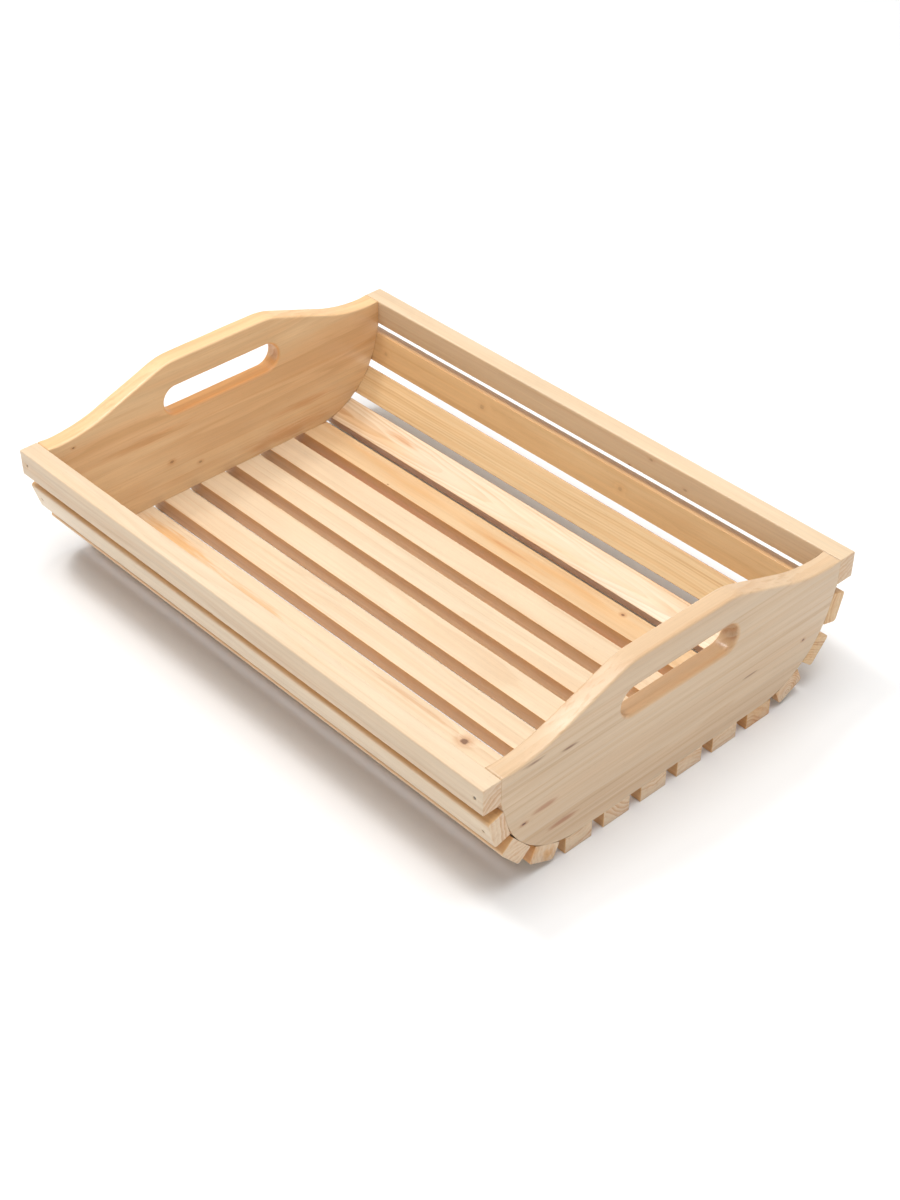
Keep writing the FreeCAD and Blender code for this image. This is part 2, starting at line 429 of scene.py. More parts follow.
# %% Wood colour
def wood_colour(grain, cut, ring, late):
    """The colour of the wood on its long faces, before the fibres."""
    settings = {"noise_dimensions": "1D"}
    band = grain.node("TexNoise", settings, {"W": ring * 0.42 + cut.seed, "Scale": 1.0, "Detail": 1.0})
    streak = grain.drawn_out(240, 2.4, 3.0).rise(0.52, 0.72)
    sap = grain.drawn_out(120, 11).rise(0.42, 0.72)
    colour = grain.blend(late * cut.strength, hue(cut.pale), hue(cut.late))
    colour = grain.tint(band.rise(0.42, 0.72) * cut.bands, colour, hue("EBC698"))
    colour = grain.tint(streak * cut.streaky, colour, hue("DFC7A6"))
    colour = grain.tint(sap * cut.amber, colour, hue("F6D096"))
    for mark in cut.marks:
        ragged = grain.from_spot(mark) + (grain.drawn_out(14, 1.2) - 0.5) * 1.4
        colour = grain.tint(ragged.fall(0.2, 1.2) * mark.strength, colour, hue(mark.colour))
    return colour


# %% [markdown]
# The last layers are the ones a finger feels.  Fibres and hairs were cut open by the plane, and
# tiny pores stay a little dull.  On the end of a stick the fibres drink more lacquer, so the end
# is duller and pinker with clear arcs, and it is found by comparing the surface's direction with
# the grain's.  Two numbers stored on the mesh finish it: "arris" where an edge was sanded paler,
# and "flank" on the sides of a stick, which get painted warm shade, the orange of light bounced
# between the sticks.  A thin satin coat lies over everything.

# %% The pine recipe
def pine(name, cut, direction):
    """The material of one pine stick; direction is its grain's direction in the crate."""
    grain = Grain(name, cut.seed)
    push, core, halo = knots_of(grain, cut)
    ring, late = growth_rings(grain, cut, push)
    fibres = grain.drawn_out(60, 1.4, 3.0)
    hairs = grain.drawn_out(17, 0.34)
    cloud = grain.drawn_out(95, 16)
    pores = grain.drawn_out(4.5, 0.26, 1.0).rise(0.66, 0.76)
    normal = grain.node("NewGeometry", output="Normal")
    facing = grain.node("VectorMath", {"operation": "DOT_PRODUCT"}, {0: normal, 1: direction}, output="Value")
    end = abs(facing).rise(0.72, 0.97)
    arris = grain.node("Attribute", {"attribute_name": "arris"}, output="Fac")
    flank = grain.node("Attribute", {"attribute_name": "flank"}, output="Fac") * (1 - end)

    uneven = 1 + (fibres - 0.5) * 0.20 + (hairs - 0.5) * 0.12 + (cloud - 0.5) * 0.14
    colour = wood_colour(grain, cut, ring, late)
    colour = grain.shade(colour, uneven * (1 - pores * 0.12) * (1 + arris * 0.06))
    colour = grain.tint(end * (0.12 + 0.55 * late), colour, hue("E2B18C"))
    # Painted warm shade: the sides are tinted orange, as light bounced between the sticks would make them.
    colour = grain.tint(flank * cut.flanks, colour, hue("FAD8A6"))
    rough = 0.44 + (fibres - 0.5) * 0.18 + late * 0.05 + end * 0.16 + pores * 0.1
    height = late * 0.4 + fibres * 0.5 + hairs * 0.45 - pores * 0.5
    if cut.knots:
        colour = grain.tint(halo, colour, hue("D2935A"))
        colour = grain.blend(core, colour, hue("5A3320"))
        height = height - core * 1.2
    bump = grain.node("Bump", None, {"Strength": 0.4, "Distance": 0.12 * MM, "Height": height})
    return grain.finish(Base_Color=colour, Roughness=rough, Normal=bump, Coat_Weight=0.30,
                        Coat_Roughness=0.22, IOR=1.48)


# %% [markdown]
# ## Sawn sticks with sanded edges
#
# A slat is a plain bar, but nothing about a real one is perfectly sharp or perfectly even: the
# outer edges were run over a sander, the inner ones only touched.  A cube with a bevel would be
# too regular.  Instead we build a bar as a row of cross sections along x, and let the rounding of
# each section wander a little from the last one.  A few small knocks deepen it in places.
#
# Half of a section is a list of points, each with its place, how worn it is and how far it
# belongs to the flank of the bar.

# %% Wandering numbers and half of a cross section
def wander(position, seed, reach):
    """Smooth seeded noise from -1 to 1 along a stick."""
    return noise.noise(Vector((position / reach, seed * 13.37, seed * 4.21)))


ROUND_STEPS = 5         # faces in each rounded edge


def half_section(half_width, half_height, radius, across):
    """(y, z, wear, flank) over one side of a bar, from its left middle to its right middle."""
    left, right = [], []
    for step in range(ROUND_STEPS + 1):
        turn = step / ROUND_STEPS * math.pi / 2
        y = half_width - radius + radius * math.cos(turn)
        z = half_height - radius + radius * math.sin(turn)
        left.append((-y, z, math.sin(2 * turn), math.cos(turn)))
        right.append((y, z, math.sin(2 * turn), math.cos(turn)))
    level = [(y, half_height, 0.0, 0.0) for y in across]
    return [(-half_width, 0.0, 0.0, 1.0)] + left + level + right[::-1] + [(half_width, 0.0, 0.0, 1.0)]


# %% [markdown]
# Nails are driven a little below the surface, so every nail needs a real hole.  The sections are
# placed so that each nail sits in the middle of one square face.  That face is left out, and a
# round hole takes its place: rings of points going down, joined to the square's four corners.

# %% A hole for a nail
NAIL_CELL = 2.4         # half the square of face round a nail hole, in millimetres
HOLE_RADIUS = 1.05
HOLE_DEPTH = 0.75
HOLE_SIDES = 16
CUT_WEAR = 0.6          # how pale an edge is that was cut and hardly sanded


def nail_hole(mesh, corners, centre, wear):
    """Fill a square cell of a face, whose corners are in order, with a round closed hole."""
    across_cell = (corners[1].co - corners[0].co).normalized()
    up_cell = (corners[3].co - corners[0].co).normalized()
    inward = -across_cell.cross(up_cell)
    rings = []
    for radius, depth in ((HOLE_RADIUS + 0.12, 0.0), (HOLE_RADIUS, 0.1), (HOLE_RADIUS - 0.05, HOLE_DEPTH)):
        ring = []
        for step in range(HOLE_SIDES):
            turn = math.tau * step / HOLE_SIDES
            spot = centre + (across_cell * math.cos(turn) + up_cell * math.sin(turn)) * radius * MM
            vertex = mesh.verts.new(spot + inward * depth * MM)
            vertex[wear] = CUT_WEAR if depth < HOLE_DEPTH else 0.0
            ring.append(vertex)
        rings.append(ring)
    quarter_steps = HOLE_SIDES // 4
    order = (2, 3, 0, 1)            # the corner met at 45, 135, 225 and 315 degrees
    for quarter in range(4):
        corner = corners[order[quarter]]
        following = corners[order[(quarter + 1) % 4]]
        for step in range(quarter * quarter_steps, (quarter + 1) * quarter_steps):
            mesh.faces.new((corner, rings[0][(step + 1) % HOLE_SIDES], rings[0][step]))
        mesh.faces.new((corner, following, rings[0][(quarter + 1) * quarter_steps % HOLE_SIDES]))
    for outer, inner in zip(rings, rings[1:]):
        for step in range(HOLE_SIDES):
            after = (step + 1) % HOLE_SIDES
            mesh.faces.new((outer[step], outer[after], inner[after], inner[step]))
    mesh.faces.new(rings[-1])


# %% [markdown]
# Sections stand about seven millimetres apart.  They gather round a knock, because a small dent
# needs more points to show, and keep clear of a nail's square.  The last three at each end draw
# in by a fraction of a millimetre, which rounds the end's own edge.

# %% Where the sections of a bar go
END_ROUND = ((0.0, 0.30), (0.09, 0.09), (0.30, 0.0))        # from the end, drawn in by
FIRST = 0.6             # from the end to the first plain section
SPANS = 56


def clear_of(place, nails, margin):
    """True where a place along the bar is outside every nail's square and a margin round it."""
    return all(abs(place - nail) > NAIL_CELL + margin for nail in nails)


def section_places(length, nails, dents):
    """(x, drawn in) of each section from one end of a bar to the other."""
    places = {round(-length / 2 + FIRST + i * (length - 2 * FIRST) / SPANS, 2) for i in range(SPANS + 1)}
    places = {place for place in places if clear_of(place, nails, 0.8)}
    for spot, _, _ in dents:
        near = [spot + aside for aside in (-2.4, -1.2, 0, 1.2, 2.4)]
        places |= {round(place, 2) for place in near
                   if abs(place) < length / 2 - 0.8 and clear_of(place, nails, 0.5)}
    places |= {nail + side * NAIL_CELL for nail in nails for side in (-1, 1)}
    start = [(-length / 2 + along, inset) for along, inset in END_ROUND]
    stop = [(length / 2 - along, inset) for along, inset in END_ROUND[::-1]]
    return start + [(place, 0.0) for place in sorted(places)] + stop


def worn_radius(place, radius, seed, dents, which):
    """The rounding of one edge at a place: uneven, and deeper at the knocks on that edge."""
    uneven = radius * (1 + 0.16 * wander(place, seed + which, 45) + 0.07 * wander(place, seed + which, 11))
    for spot, edge, depth in dents:
        if edge == which:
            uneven += depth * math.exp(-((place - spot) / 1.5) ** 2)
    return uneven


# %% [markdown]
# The skin is a face between each pair of neighbouring points on neighbouring sections.  The two
# ends are closed with four-sided strips rather than one many-sided face, so that their shading
# stays even.

# %% Skin and ends of a bar
def skin(mesh, rows, nails, wear):
    """Join the sections, leaving a nail hole wherever a nail goes in."""
    count = len(rows[0])
    cell_column = 1 + ROUND_STEPS + 1           # the first point after the left rounding
    for before, after in zip(rows, rows[1:]):
        middle = (before[0].co.x + after[0].co.x) / 2 / MM
        has_nail = any(abs(middle - nail) < 0.1 for nail in nails)
        for column in range(count):
            following = (column + 1) % count
            quad = (before[column], before[following], after[following], after[column])
            if has_nail and column == cell_column:
                centre = sum((vertex.co for vertex in quad), Vector()) / 4
                nail_hole(mesh, (quad[0], quad[3], quad[2], quad[1]), centre, wear)
            else:
                mesh.faces.new(quad)


def close_end(mesh, row):
    """Close one end of a bar with strips from its outer side to its inner side."""
    half = len(row) // 2 + 1
    over = row[:half]
    under = [row[0]] + row[half:][::-1] + [row[half - 1]]
    for i in range(half - 1):
        corners = []
        for vertex in (over[i], over[i + 1], under[i + 1], under[i]):
            if vertex not in corners:
                corners.append(vertex)
        mesh.faces.new(corners)


# %% [markdown]
# A bar is then short to write: choose the knocks, lay out the sections, and close them up.  The
# random numbers come from a generator with its own seed, so the same bar is made every time.

# %% A whole bar
def finished_mesh(name, mesh):
    """Turn the working mesh into a smoothly shaded object in the scene."""
    bmesh.ops.recalc_face_normals(mesh, faces=mesh.faces)
    for face in mesh.faces:
        face.smooth = True
    data = bpy.data.meshes.new(name)
    mesh.to_mesh(data)
    mesh.free()
    made = bpy.data.objects.new(name, data)
    bpy.context.scene.collection.objects.link(made)
    return made


def bar(name, length, width, height, rounds, seed, nails, knocks=3):
    """A bar along x with its outer face at +z.  rounds: of the outer and inner edges.  nails: x of each."""
    chance = random.Random(seed)
    dents = [(chance.uniform(-0.48, 0.48) * length, chance.choice((0, 1)), chance.uniform(0.15, 0.5))
             for _ in range(knocks)]
    mesh = bmesh.new()
    wear = mesh.verts.layers.float.new("arris")
    side = mesh.verts.layers.float.new("flank")
    rows = []
    for place, inset in section_places(length, nails, dents):
        halves = []
        for which, radius in enumerate(rounds):
            worn = max(worn_radius(place, radius, seed, dents, which) - inset, 0.08)
            halves.append(half_section(width / 2 - inset, height / 2 - inset, worn, (-NAIL_CELL, NAIL_CELL)))
        outer, inner = halves
        row = []
        for y, z, edge, flank in outer + [(y, -z, edge, flank) for y, z, edge, flank in inner[-2:0:-1]]:
            vertex = mesh.verts.new((place * MM, y * MM, z * MM))
            vertex[wear] = max(edge, CUT_WEAR if inset else 0.0)
            vertex[side] = flank
            row.append(vertex)
        rows.append(row)
    skin(mesh, rows, nails, wear)
    close_end(mesh, rows[0])
    close_end(mesh, rows[-1])
    return finished_mesh(name, mesh)


# %% [markdown]
# ## Reading a stick's seat from the frame
#
# The slats lean more and more towards the sides.  Rather than repeat the rule, we look at each
# CAD slat and ask for its largest flat face.  The direction of that face is the lean, and
# measuring the slat along and across it gives its size and middle.  A face can point either way,
# so we turn the answer to point away from the middle of the crate.

# %% Where each stick goes
LENGTHWISE = Vector((1, 0, 0))


def broad_direction(mesh):
    """The direction of the largest flat face that runs along the stick."""
    totals = {}
    for face in mesh.polygons:
        if abs(face.normal.x) < 0.1:
            key = (round(face.normal.y, 2), round(face.normal.z, 2))
            area, summed = totals.get(key, (0.0, Vector()))
            totals[key] = (area + face.area, summed + face.normal * face.area)
    return max(totals.values(), key=lambda pair: pair[0])[1].normalized()


def seat_of(name, towards=None):
    """Middle, outward and sideways directions, and sizes in millimetres, of a CAD stick."""
    mesh = nodes[name].data
    outward = broad_direction(mesh)
    low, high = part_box(name)
    away = Vector(towards) if towards else (low + high) / 2 - Vector((0, 0, size.z))
    away.x = 0
    if outward.dot(away) < 0:
        outward = -outward
    sideways = outward.cross(LENGTHWISE).normalized()
    seat = {"outward": outward, "sideways": sideways}
    ends = {}
    for measure, direction in (("length", LENGTHWISE), ("width", sideways), ("height", outward)):
        spots = [vertex.co.dot(direction) for vertex in mesh.vertices]
        seat[measure] = (max(spots) - min(spots)) / MM
        ends[measure] = max(spots) + min(spots)
    seat["centre"] = (outward * ends["height"] + sideways * ends["width"] + LENGTHWISE * ends["length"]) / 2
    return seat


# %% [markdown]
# A piece that stands for a CAD node takes its seat, its body and its material, and hides it.
# Every stick needs the same few lines, so they are one function.

# %% Seating a stick
board_low, board_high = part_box("end_board_right")
NAIL_X = (board_low.x + board_high.x) / 2 / MM          # nails go into the middle of the boards
seats = {}


def stand_for(piece, node_name):
    """Let a piece ride on the crate in place of a CAD node."""
    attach(piece, "root")
    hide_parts(node_name)


def seat_stick(node_name, cut, rounds, seed, knocks=3, towards=None, fuller=0.0):
    """Make a stick, lay it where the frame says, and finish it in its own pine."""
    seat = seats[node_name] = seat_of(node_name, towards)
    stick = bar(node_name + "_wood", seat["length"], seat["width"] + fuller, seat["height"], rounds,
                seed, nails=(-NAIL_X, NAIL_X), knocks=knocks)
    turn = Matrix((LENGTHWISE, seat["sideways"], seat["outward"])).transposed().to_4x4()
    stick.matrix_world = Matrix.Translation(seat["centre"]) @ turn
    stick.data.materials.append(pine("pine_" + node_name, cut, direction=LENGTHWISE))
    stand_for(stick, node_name)
    print(node_name, [round(seat[key], 2) for key in ("length", "width", "height")], "mm, lean",
          round(math.degrees(math.atan2(seat["outward"].y, -seat["outward"].z)), 1), "degrees")


# %% [markdown]
# ## The twelve slats
#
# Most of the slats are plain pale pine, and a few have character.  Writing this down slat by
# slat is quick, and it is what stops the crate from looking copied.  At the front, an outer floor
# slat has a knot and amber stains.

# %% How the front slats were cut
CREAM = "E0CAAC"
FRONT_CUTS = {
    "floor_slat_front_inner": Pine((3, -62), seed=1, gap=2.8, strength=0.22, lean=0.012),
    "floor_slat_front_middle": Pine((-22, -40), seed=2, gap=2.4, strength=0.22, lean=-0.01),
    "floor_slat_front_outer": Pine(
        (6, -48), seed=3, gap=3.0, strength=0.25, lean=0.02, knots=(Knot(109, -3, 2.2, 2.8, 0.75),),
        marks=(Mark(-150, 1.5, 7.0, 44, 0.7, "F6CC90"), Mark(-70, 3, 3.8, 40, 0.5, "F2C68E"),
               Mark(60, -5, 2.2, 46, 0.45, "DDB084"))),
    "corner_slat_front": Pine((-40, -20), seed=4, gap=2.4, pale=CREAM, strength=0.3, amber=0.8),
    "side_slat_front_lower": Pine((30, -20), seed=5, gap=2.8, pale=CREAM, strength=0.3),
    "side_slat_front_upper": Pine((-12, -70), seed=6, gap=3.0, pale=CREAM, strength=0.3),
}

# %% [markdown]
# At the back, the corner slat was cut close to the heart and shows tall arches.  The slat above
# it has fine straight lines, and the top one has three small pale knots.

# %% How the back slats were cut
BACK_CUTS = {
    "floor_slat_back_inner": Pine((10, 40), seed=7, gap=2.7, strength=0.22, lean=-0.015),
    "floor_slat_back_middle": Pine((-5, 90), seed=8, gap=3.1, strength=0.24, lean=0.01),
    "floor_slat_back_outer": Pine(
        (26, 40), seed=9, gap=2.6, pale="D5B68E", strength=0.28, amber=0.6,
        knots=(Knot(91, -4.1, 1.0, 1.3, 0.7), Knot(-105, 8.8, 0.4, 0.5, 0.8)),
        marks=(Mark(-0.6, 0.2, 1.6, 22, 0.4, "E8B67E"),)),
    "corner_slat_back": Pine(
        (2, 3), seed=10, gap=1.4, strength=0.5, bands=0.1, amber=0.5, wander=3, lean=0.03,
        marks=(Mark(-130, -2.8, 3.0, 16, 0.6, "E7AE6C"),)),
    "side_slat_back_lower": Pine(
        (70, 12), seed=11, gap=1.7, pale="DABB8E", strength=0.55, streaky=0.4, wander=3),
    "side_slat_back_upper": Pine(
        (-8, 60), seed=12, gap=3.0, pale="DDBE90", strength=0.3, bands=0.4, flanks=0.4,
        knots=(Knot(-83.3, -1.0, 1.5, 1.9, 0.22), Knot(38.8, 0.2, 1.4, 1.8, 0.22),
               Knot(-176, 0.9, 1.3, 1.7, 0.2))),
}

# %% [markdown]
# The floor slats lie flat and close together, so their outer edges are nearly square.  They are
# made a hair fuller than drawn, which keeps daylight out of the gaps.  The side slats are sanded
# rounder, because hands meet them.  Each stick's knocks come from a seed of its own.

# %% Seat the slats
SLAT_CUTS = FRONT_CUTS | BACK_CUTS
SNUG = 0.4              # millimetres added to the width of a floor slat
INNER_ROUND = 0.45
for seed, (slat_name, cut) in enumerate(SLAT_CUTS.items(), start=20):
    is_floor = "floor" in slat_name
    rounds = (0.5 if is_floor else 2.0, INNER_ROUND)
    seat_stick(slat_name, cut, rounds, seed, fuller=SNUG if is_floor else 0.0)

# %% [markdown]
# ## The two top rails
#
# The rails are the same kind of bar, squarer in section, with both sides rounded alike.  They lie
# against the ends of the boards, with a nail through each end.  Rails take the most knocks, so
# they get five.  Their broad faces look straight out, which we say, because a rail is above the
# middle of the crate and the usual rule would not know.

# %% Rails
RAIL_CUTS = {
    "top_rail_front": Pine(
        (-30, -20), seed=21, gap=3.2, pale="D9C2A4", strength=0.26, amber=0.15, lean=0.01, flanks=0.0),
    "top_rail_back": Pine(
        (34, 14), seed=22, gap=3.6, pale="DAC2A2", strength=0.2, bands=0.1, flanks=0.0,
        knots=(Knot(57.8, -4.4, 0.9, 1.6, 0.3), Knot(85.6, 3.0, 0.9, 1.6, 0.3),
               Knot(41, 7.8, 0.7, 0.9, 0.8))),
}
for seed, (rail_name, cut) in enumerate(RAIL_CUTS.items(), start=40):
    outward = (0, -1, 0) if "front" in rail_name else (0, 1, 0)
    seat_stick(rail_name, cut, (1.0, 1.0), seed, knocks=5, towards=outward)

# %% [markdown]
# ## The end boards
#
# An end board is one outline with real thickness: flat base, round lower corners, straight
# shoulders and a handle arch with a slot.  A Boolean cut could make the slot, but it leaves rough
# shading and edges that are hard to round.  So we draw the outline once as a list of points, arcs
# included, and lay it down several times, each copy a little further in or deeper, like contour
# lines on a map.  Joining neighbouring copies makes the rounded edges.

# %% Sizes of a board
ARCH_TOP = board_high.z / MM
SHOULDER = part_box("top_rail_back")[1].z / MM
RAIL_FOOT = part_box("top_rail_back")[0].z / MM
HALF_WIDTH = board_high.y / MM
BASE = board_low.z / MM
BASE_HALF, CORNER_RADIUS = 72.0, 55.5
ARCH_TOP_HALF, ARCH_FOOT_HALF = 40.0, 105.0
ARCH_TOP_RADIUS, ARCH_FOOT_RADIUS = 45.0, 110.0
SLOT_HALF, SLOT_RADIUS, SLOT_MIDDLE = 45.0, 9.5, 79.0
print("arch", round(ARCH_TOP - SHOULDER, 1), "mm above the shoulders, width", round(2 * HALF_WIDTH, 1), "mm")


# %% [markdown]
# An outline is made of only two things, arcs and straight runs.  Each gives a list of points at
# a steady spacing, closer on an arc, where corners would show.

# %% Arcs and straights
def arc_points(centre, radius, start, stop, spacing=2.0):
    """Points on an arc, angles in radians from the first axis."""
    steps = max(2, math.ceil(abs(stop - start) * radius / spacing))
    turns = [start + (stop - start) * i / steps for i in range(steps + 1)]
    return [(centre[0] + radius * math.cos(turn), centre[1] + radius * math.sin(turn)) for turn in turns]


def straight(start, stop, spacing=4.0):
    """Points on a straight line, both ends included."""
    steps = max(1, round(math.dist(start, stop) / spacing))
    return [(start[0] + (stop[0] - start[0]) * i / steps, start[1] + (stop[1] - start[1]) * i / steps)
            for i in range(steps + 1)]


# %% [markdown]
# The arch's side is a straight slope between two arcs, one hollow at its foot and one swelling at
# its top.  An arc that is to meet a slope smoothly starts its radius times the tangent of half
# the slope before the corner.  Below the rail the edge follows the slats: the corner arc stops
# at the lean of the top slat, and a straight line goes on from where that slat touches.

# %% Outline of a board
def board_outline():
    """Outline of a board, anticlockwise from the middle of its base, in millimetres."""
    top_seat = seats["side_slat_back_upper"]
    touch = top_seat["centre"] - top_seat["outward"] * top_seat["height"] / 2 * MM
    lean = math.atan2(top_seat["outward"].y, -top_seat["outward"].z)
    slope = math.atan2(ARCH_TOP - SHOULDER, ARCH_FOOT_HALF - ARCH_TOP_HALF)
    foot_run = ARCH_FOOT_RADIUS * math.tan(slope / 2)
    top_run = ARCH_TOP_RADIUS * math.tan(slope / 2)
    quarter = math.pi / 2
    hollow = arc_points((ARCH_FOOT_HALF + foot_run, SHOULDER + ARCH_FOOT_RADIUS), ARCH_FOOT_RADIUS,
                        -quarter, -quarter - slope)
    swell = arc_points((ARCH_TOP_HALF - top_run, ARCH_TOP - ARCH_TOP_RADIUS), ARCH_TOP_RADIUS,
                       quarter - slope, quarter)
    corner = arc_points((BASE_HALF, BASE + CORNER_RADIUS), CORNER_RADIUS, -quarter, -quarter + lean)
    pieces = [straight((0, BASE), (BASE_HALF, BASE)), corner,
              straight((touch.y / MM, touch.z / MM), (HALF_WIDTH, RAIL_FOOT)),
              straight((HALF_WIDTH, RAIL_FOOT), (HALF_WIDTH, SHOULDER)),
              straight((HALF_WIDTH, SHOULDER), hollow[0], 1.5), hollow,
              straight(hollow[-1], swell[0]), swell, straight(swell[-1], (0, ARCH_TOP))]
    half = []
    for point in sum(pieces, []):
        if not half or math.dist(half[-1], point) > 0.05:
            half.append(point)
    return half + [(-y, z) for y, z in half[-2:0:-1]]


def slot_outline():
    """Outline of the hand slot, anticlockwise."""
    run = SLOT_HALF - SLOT_RADIUS
    right_end = arc_points((run, SLOT_MIDDLE), SLOT_RADIUS, -math.pi / 2, math.pi / 2, 1.2)
    left_end = [(-y, 2 * SLOT_MIDDLE - z) for y, z in right_end]
    top = straight(right_end[-1], left_end[0])[1:-1]
    bottom = straight(left_end[-1], right_end[0])[1:-1]
    return right_end + top + left_end + bottom


outline, hand_slot = board_outline(), slot_outline()
print("outline", len(outline), "points, hand slot", len(hand_slot), "points")


# %% [markdown]
# To move a contour inwards, each point steps along the mitre between its two neighbours.  The
# step and the depth follow a quarter circle at each face, so the edge comes out round, and the
# slot uses the same steps turned inside out.

# %% Contours
def outward_normals(points):
    """Mitred outward direction at each point of an anticlockwise outline."""
    result = []
    for i, point in enumerate(points):
        before = Vector(point) - Vector(points[i - 1])
        after = Vector(points[(i + 1) % len(points)]) - Vector(point)
        first = Vector((before.y, -before.x)).normalized()
        second = Vector((after.y, -after.x)).normalized()
        both = (first + second).normalized()
        result.append(both / max(both.dot(first), 0.6))
    return result


def contours(mesh, layers, points, radii, thickness, hole):
    """Lay an outline down as contours from the outer face to the inner; return the first and last."""
    wear, side = layers
    normals = outward_normals(points)
    turns = [step / ROUND_STEPS * math.pi / 2 for step in range(ROUND_STEPS + 1)]
    rings = []
    for turn, facing in [(turn, 1) for turn in turns] + [(turn, -1) for turn in turns[::-1]]:
        ring = []
        for (y, z), normal, radius in zip(points, normals, radii):
            inset = radius * (1 - math.sin(turn)) * (-1 if hole else 1)
            depth = thickness / 2 - radius * (1 - math.cos(turn))
            moved_y, moved_z = y - normal.x * inset, z - normal.y * inset
            vertex = mesh.verts.new((moved_y * MM, moved_z * MM, facing * depth * MM))
            vertex[wear] = math.sin(2 * turn) * (1 if radius > 0.5 else 0.3)
            # how much painted warm shade this point gets: most on the walls of the slot, a little on the rim
            vertex[side] = math.sin(turn) * (0.6 if hole else 0.22)
            ring.append(vertex)
        rings.append(ring)
    for outer, inner in zip(rings, rings[1:]):
        for i in range(len(points)):
            j = (i + 1) % len(points)
            mesh.faces.new((outer[i], inner[i], inner[j], outer[j]))
    return rings[0], rings[-1]


# %% [markdown]
# The arch and the slot are sanded rounder than the rest, because they are held.  The rounding
# fades away over the last seven millimetres before a rail, so that board and rail meet in a thin
# dark line.  The two flat faces are filled last, between the rim and the slot.

# %% A whole end board
FADE = 7.0
SHARP, HELD, SLOT_ROUND = 0.3, 1.5, 1.75


def rim_radius(y, z, seed):
    """Rounding of the board's rim at a point: full on the arch, small at the rails and below."""
    share = min(max((HALF_WIDTH - abs(y)) / FADE, 0.0), 1.0) if z > SHOULDER - 0.01 else 0.0
    even = SHARP + (HELD - SHARP) * share ** 2 * (3 - 2 * share)
    return even * (1 + 0.18 * wander(y, seed + (z > 60), 22))


def end_board(name, thickness, seed):
    """A whole board about its own middle plane: x along the grain, y up, +z outwards."""
    mesh = bmesh.new()
    layers = [mesh.verts.layers.float.new("arris"), mesh.verts.layers.float.new("flank")]
    rim_radii = [rim_radius(y, z, seed) for y, z in outline]
    slot_radii = [SLOT_ROUND * (1 + 0.15 * wander(y, seed + 5 + (z > SLOT_MIDDLE), 14)) for y, z in hand_slot]
    rims = contours(mesh, layers, outline, rim_radii, thickness, hole=False)
    openings = contours(mesh, layers, hand_slot, slot_radii, thickness, hole=True)
    for rim, opening in zip(rims, openings):
        edges = []
        for ring in (rim, opening):
            edges += [mesh.edges.get((vertex, ring[(i + 1) % len(ring)])) for i, vertex in enumerate(ring)]
        bmesh.ops.triangle_fill(mesh, use_beauty=True, use_dissolve=False, edges=edges)
    return finished_mesh(name, mesh)


# %% [markdown]
# The two boards are twins in shape and not in colour.  The right one is greyish with dark flecks
# near its rails; its greyer, darker pale is partly the wood and partly painted shade.  The left one
# is golden, with soft reddish bands and two small knots; its golden pale is partly the wood and
# partly painted warm bounce light, and its rims carry strong painted warm shade.

# %% How the boards were cut
FLECK, RUST = "8A5A3C", "C98A5C"
BOARD_CUTS = {
    "end_board_right": Pine(
        # A greyer, darker pale: partly the wood, partly painted shade.
        (-18, 70), seed=31, gap=5.0, pale="D3B999", strength=0.3, bands=0.15, streaky=0.4, wander=9,
        knots=(Knot(-113.4, 43, 0.7, 1.6, 0.95), Knot(119.5, 33, 0.8, 1.2, 0.8),
               Knot(104.8, 41.2, 0.7, 1.1, 0.8)),
        marks=(Mark(-107.8, 81.2, 1.0, 9, 0.8, FLECK), Mark(-82.4, 76.1, 1.0, 7, 0.8, FLECK),
               Mark(59.6, 41.5, 0.8, 7, 0.6, FLECK), Mark(-84.8, 26.8, 2.2, 13, 0.7, RUST),
               Mark(-98.7, 45.9, 2.0, 10, 0.6, RUST))),
    "end_board_left": Pine(
        # A golden pale: partly the wood, partly painted warm bounce light.
        (25, -75), seed=32, gap=5.2, pale="E8C89D", strength=0.3, bands=0.35, streaky=0.3, wander=12,
        # Strong painted warm shade on the rims and slot walls, which darkens the bright top edge.
        flanks=1.6,
        knots=(Knot(44.5, 36.6, 1.0, 1.6, 0.45), Knot(23, 27, 0.9, 1.4, 0.4),
               Knot(113, 78, 0.5, 1.0, 0.8), Knot(111, 48, 0.5, 0.9, 0.7)),
        marks=(Mark(-45, 18, 6.0, 36, 0.45, "E0AC78"), Mark(-62, 34, 3.0, 26, 0.35, "DCA470"),
               Mark(60, 60, 3.0, 40, 0.35, "E6B684"), Mark(20, 8, 4.0, 60, 0.3, "E6B684"))),
}

# %% [markdown]
# A board is built lying down, so it is turned to stand across the crate, with its outer face
# away from the middle.  Its grain runs from side to side.

# %% Seat the boards
for seed, (board_name, cut) in enumerate(BOARD_CUTS.items(), start=60):
    low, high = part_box(board_name)
    board = end_board(board_name + "_wood", (high.x - low.x) / MM, seed)
    facing = 1 if "right" in board_name else -1
    turn = Matrix(((0, facing, 0), (0, 0, 1), (facing, 0, 0))).transposed().to_4x4()
    board.matrix_world = Matrix.Translation(((low.x + high.x) / 2, 0, 0)) @ turn
    board.data.materials.append(pine("pine_" + board_name, cut, direction=(0, 1, 0)))
    stand_for(board, board_name)
    print(board_name, len(board.data.polygons), "faces")

# %% [markdown]
# ## Nails
#
# Each slat and rail is nailed to both boards.  A nail is a turned shape: a thin domed head, a
# round shank and a point.  A lathe would turn it from one profile, and so do we: the profile is
# carried round an axis in steps, and the same nail is set down at every hole.  Its steel is dull
# and patchy, bright where it rubbed and brown where the lacquer caught it.

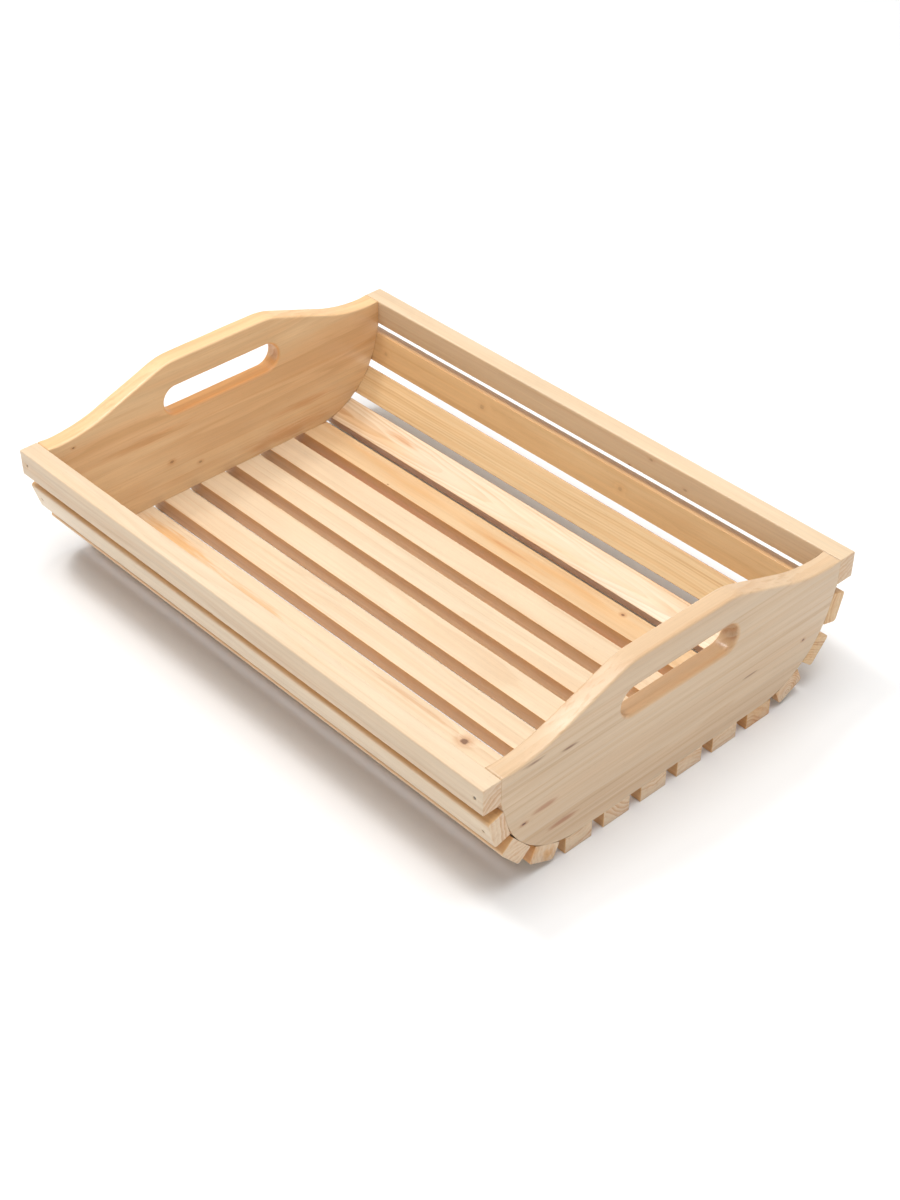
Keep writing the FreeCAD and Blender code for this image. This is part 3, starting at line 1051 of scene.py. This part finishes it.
# %% Nail steel
sheet = Sheet(bpy.data.materials.new("nail_steel"))
where = sheet.stretch(sheet.node("TexCoord", output="Object"), (1000, 1000, 1000))
grime = sheet.cloudy(sheet.stretch(where, (1.3, 1.3, 1.3)), detail=3)
dents = sheet.node("Bump", None, {"Strength": 0.3, "Distance": 0.05 * MM, "Height": grime})
steel = sheet.finish(Base_Color=sheet.blend(grime.rise(0.4, 0.7), hue("8B8783"), hue("5E564E")),
                     Metallic=1.0, Roughness=0.34 + 0.3 * grime, Normal=dents)
print("steel nodes", len(steel.node_tree.nodes))

# %% [markdown]
# The profile is a list of radii and heights, read from the crown of the head down to the point.

# %% One nail
NAIL_SIDES = 14
HEAD_DEPTH = 0.42       # how far the head lies below the wood
GRIP = 14.0             # how far the point goes past the stick


def nail_profile(stick_height):
    """(radius, height above the stick's middle) from the crown of the head to the point."""
    top = stick_height / 2 - HEAD_DEPTH
    point = -stick_height / 2 - GRIP
    return [(0.0, top), (0.45, top - 0.02), (0.80, top - 0.10), (0.94, top - 0.22), (0.94, top - 0.42),
            (0.60, top - 0.80), (0.60, point + 2.4), (0.05, point)]


def turned_nail(mesh, foot, seat):
    """Carry the profile round the nail's axis and join the rings."""
    rings = []
    for radius, along in nail_profile(seat["height"]):
        ring = []
        for step in range(NAIL_SIDES if radius else 1):
            turn = math.tau * step / NAIL_SIDES
            offset = LENGTHWISE * math.cos(turn) + seat["sideways"] * math.sin(turn)
            ring.append(mesh.verts.new(foot + (offset * radius + seat["outward"] * along) * MM))
        rings.append(ring)
    for outer, inner in zip(rings, rings[1:]):
        for i in range(NAIL_SIDES):
            j = (i + 1) % NAIL_SIDES
            corners = [outer[i % len(outer)], inner[i], inner[j]]
            if len(outer) > 1:
                corners.append(outer[j])
            mesh.faces.new(corners)
    mesh.faces.new(rings[-1])


# %% [markdown]
# All the nails of one kind are one piece with many parts, as they are one node in the frame.

# %% Drive the nails
def nails(name, sticks, node_name):
    """One piece with a nail through both ends of each of these sticks."""
    mesh = bmesh.new()
    for stick in sticks:
        for end in (-1, 1):
            turned_nail(mesh, seats[stick]["centre"] + LENGTHWISE * end * NAIL_X * MM, seats[stick])
    made = finished_mesh(name, mesh)
    made.data.materials.append(steel)
    stand_for(made, node_name)
    print(name, len(sticks) * 2, "nails")


nails("slat_nails", SLAT_CUTS, "slat_brads")
nails("rail_nails", RAIL_CUTS, "rail_brads")

# %% [markdown]
# ## The size
#
# The finished crate must fill the same box as the frame, no more and no less, so we print the
# box that it fills.

# %% Print the box
low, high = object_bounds()
print("visual box", [round(v / MM, 2) for v in (*low, *high)])
